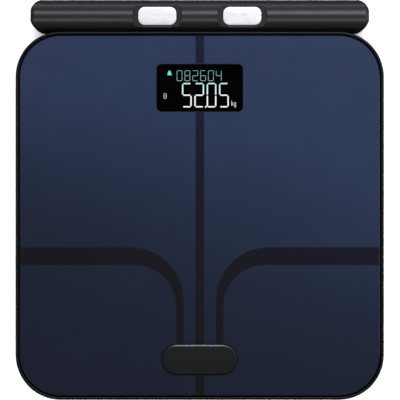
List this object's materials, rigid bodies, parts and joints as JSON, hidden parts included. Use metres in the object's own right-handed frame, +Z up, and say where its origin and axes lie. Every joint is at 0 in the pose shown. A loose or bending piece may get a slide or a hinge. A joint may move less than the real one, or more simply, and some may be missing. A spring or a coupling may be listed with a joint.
{
  "type": "digital bathroom scale",
  "caption": "Square glass bathroom scale with film foot electrodes, a window display and a docked pull-out handle bar on a reeled lead.",
  "frame": {"origin": "on the floor, at the centre of the overall outline of the platform with the handle docked", "axes": "+X to the user's right, +Y from the heels to the toes and on to the handle, +Z up"},
  "size_m": [0.3, 0.3264, 0.0304],
  "materials": {
    "printed_glass": "tempered glass printed black behind, polished edge",
    "electrode_film": "glossy navy conductive film",
    "black_print": "screen printed ink",
    "foam_tape": "closed-cell adhesive tape",
    "black_housing": "moulded, satin to gloss black",
    "base_plastic": "moulded, fine spark texture",
    "cap_plastic": "moulded, fine satin",
    "inner_plastic": "moulded, natural",
    "screw_steel": "zinc plated",
    "contact_steel": "bright stamped steel",
    "contact_brass": "turned brass",
    "electrode_steel": "finely brushed stainless steel",
    "magnet_nickel": "nickel plated",
    "display_glass": "black segment display",
    "light_guide": "clear acrylic with white backing",
    "circuit_board": "green solder mask",
    "chip_black": "epoxy packages",
    "cell_jacket": "plain foil jacket",
    "button_grey": "moulded grey",
    "foot_rubber": "soft moulded rubber",
    "lead_rubber": "flexible black rubber",
    "handle_plastic": "satin-gloss moulded black"
  },
  "bodies": {
    "platform": {"glass_platform": "printed_glass", "toe_electrode_left": "electrode_film", "toe_electrode_right": "electrode_film", "heel_electrode_left": "electrode_film", "heel_electrode_right": "electrode_film", "back_print": "black_print", "glass_tape": "foam_tape", "rim_frame": "black_housing", "base_tray": "base_plastic", "base_screws": "screw_steel", "contact_cap": "cap_plastic", "contact_gasket": "lead_rubber", "contact_block": "inner_plastic", "contact_pins": "contact_brass", "display_lcd": "display_glass", "display_backlight": "light_guide", "display_holder": "inner_plastic", "main_board": "circuit_board", "board_parts": "chip_black", "battery_cells": "cell_jacket", "battery_contacts": "contact_steel", "button_switch": "chip_black", "cell_brackets": "inner_plastic", "load_cell_leads": "lead_rubber", "reel_base": "inner_plastic", "reel_axle": "contact_steel", "reel_spring": "contact_steel", "reel_cover": "inner_plastic", "pulley_pin": "contact_steel", "lead_run": "lead_rubber", "lead_gland": "black_housing", "dock_magnets": "magnet_nickel", "load_cell_front_left": "contact_steel", "load_cell_front_right": "contact_steel", "load_cell_rear_left": "contact_steel", "load_cell_rear_right": "contact_steel", "foot_cap_front_left": "base_plastic", "foot_cap_front_right": "base_plastic", "foot_cap_rear_left": "base_plastic", "foot_cap_rear_right": "base_plastic", "foot_pad_front_left": "foot_rubber", "foot_pad_front_right": "foot_rubber", "foot_pad_rear_left": "foot_rubber", "foot_pad_rear_right": "foot_rubber"},
    "handle": {"handle_upper_shell": "handle_plastic", "handle_lower_shell": "handle_plastic", "thumb_electrode_left": "electrode_steel", "thumb_electrode_right": "electrode_steel", "finger_electrode_left": "electrode_steel", "finger_electrode_right": "electrode_steel", "handle_board": "circuit_board", "handle_magnets": "magnet_nickel", "handle_screws": "screw_steel", "handle_lead": "lead_rubber", "handle_strain_relief": "lead_rubber"},
    "spool": {"reel_spool": "inner_plastic", "lead_winding": "lead_rubber"},
    "pulley": {"guide_pulley": "inner_plastic"},
    "door": {"battery_door": "base_plastic"},
    "button": {"unit_button": "button_grey"}
  },
  "joints": [
    {"name": "handle_slide", "type": "slide", "parent": "platform", "child": "handle", "axis": [0, 1, 0], "range_m": [0, 0.9], "stiffness_N_per_m": 0.6, "springref_m": -1.5},
    {"name": "spool_spin", "type": "hinge", "parent": "platform", "child": "spool", "pos_m": [0.066, 0.095, 0.0165], "axis": [0, 0, 1], "range_deg": [0, 2700]},
    {"name": "pulley_spin", "type": "hinge", "parent": "platform", "child": "pulley", "pos_m": [0.0065, 0.1235, 0.0165], "axis": [0, 0, 1], "range_deg": [-7950, 0]},
    {"name": "door_hinge", "type": "hinge", "parent": "platform", "child": "door", "pos_m": [-0.062, 0.0448, 0.00695], "axis": [1, 0, 0], "range_deg": [0, 100]},
    {"name": "button_press", "type": "slide", "parent": "platform", "child": "button", "axis": [0, 0, 1], "range_m": [0, 0.0008], "stiffness_N_per_m": 400, "springref_m": -0.0004}
  ],
  "couplings": [
    {"joint": "spool_spin", "follows": "handle_slide", "rad_per_m": 52.08},
    {"joint": "pulley_spin", "follows": "handle_slide", "rad_per_m": -153.85}
  ]
}
